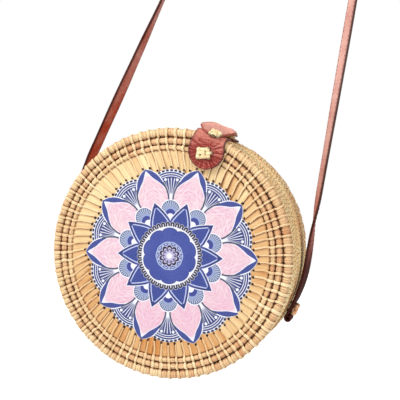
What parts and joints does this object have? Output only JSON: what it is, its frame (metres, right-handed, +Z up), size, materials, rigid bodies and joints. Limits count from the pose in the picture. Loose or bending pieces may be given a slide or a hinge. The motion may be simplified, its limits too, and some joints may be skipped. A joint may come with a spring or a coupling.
{
  "type": "rattan shoulder bag",
  "caption": "Round woven rattan clam-shell bag with coiled rims, a printed rosette, a laced leather clasp, a cloth lining and a long leather shoulder strap.",
  "frame": {"origin": "the underside of the shoulder strap's crown, in the middle of the strap's width, where a hook or a shoulder carries the bag", "axes": "+Z up, the woven front face with the rosette towards -Y, +X to the right as seen from the front; the bag hangs tilted 4 degrees clockwise in its strap, as in the picture"},
  "size_m": [0.2124, 0.0846, 0.6693],
  "materials": {
    "rattan_weave": "split rattan, satin",
    "rattan_coil": "coiled rattan bound with strips, satin",
    "rattan_lace": "round rattan lacing, satin",
    "lining": "plain woven cotton",
    "printed_cloth": "matt print",
    "clasp_leather": "creased grain, soft sheen",
    "strap_leather": "smooth grain, waxed",
    "snap_brass": "aged"
  },
  "bodies": {
    "strap": {"shoulder_strap": "strap_leather"},
    "back_shell": {"back_panel": "rattan_weave", "back_ring_inner": "rattan_coil", "back_ring_middle": "rattan_coil", "back_ring_outer": "rattan_coil", "back_wall": "rattan_weave", "back_mouth_hoop": "rattan_coil", "back_lining": "lining", "hinge_tie_left": "rattan_lace", "hinge_tie_right": "rattan_lace", "strap_end_left": "strap_leather", "strap_end_right": "strap_leather", "strap_knot_left": "rattan_lace", "strap_knot_right": "rattan_lace", "clasp_back_tab": "clasp_leather", "clasp_back_knot": "rattan_lace", "snap_stud": "snap_brass"},
    "front_shell": {"front_panel": "rattan_weave", "front_ring_inner": "rattan_coil", "front_ring_middle": "rattan_coil", "front_ring_outer": "rattan_coil", "front_wall": "rattan_weave", "front_mouth_hoop": "rattan_coil", "front_lining": "lining", "mandala_print": "printed_cloth", "clasp_front_tab": "clasp_leather", "clasp_front_knot": "rattan_lace", "clasp_top_tab": "clasp_leather", "clasp_top_knot": "rattan_lace"},
    "clasp": {"clasp_flap": "clasp_leather", "snap_socket": "snap_brass"}
  },
  "joints": [
    {"name": "bag_swing", "type": "hinge", "parent": "strap", "child": "back_shell", "pos_m": [0.00633, 0, -0.5572], "axis": [0.9976, 0, -0.0698], "range_deg": [-25, 25]},
    {"name": "lid_open", "type": "hinge", "parent": "back_shell", "child": "front_shell", "pos_m": [-0.00091, -0.011, -0.66075], "axis": [0.9976, 0, -0.0698], "range_deg": [0, 90]},
    {"name": "clasp_lift", "type": "hinge", "parent": "front_shell", "child": "clasp", "pos_m": [0.0135, -0.02695, -0.45475], "axis": [0.9976, 0, -0.0698], "range_deg": [0, 110]}
  ]
}
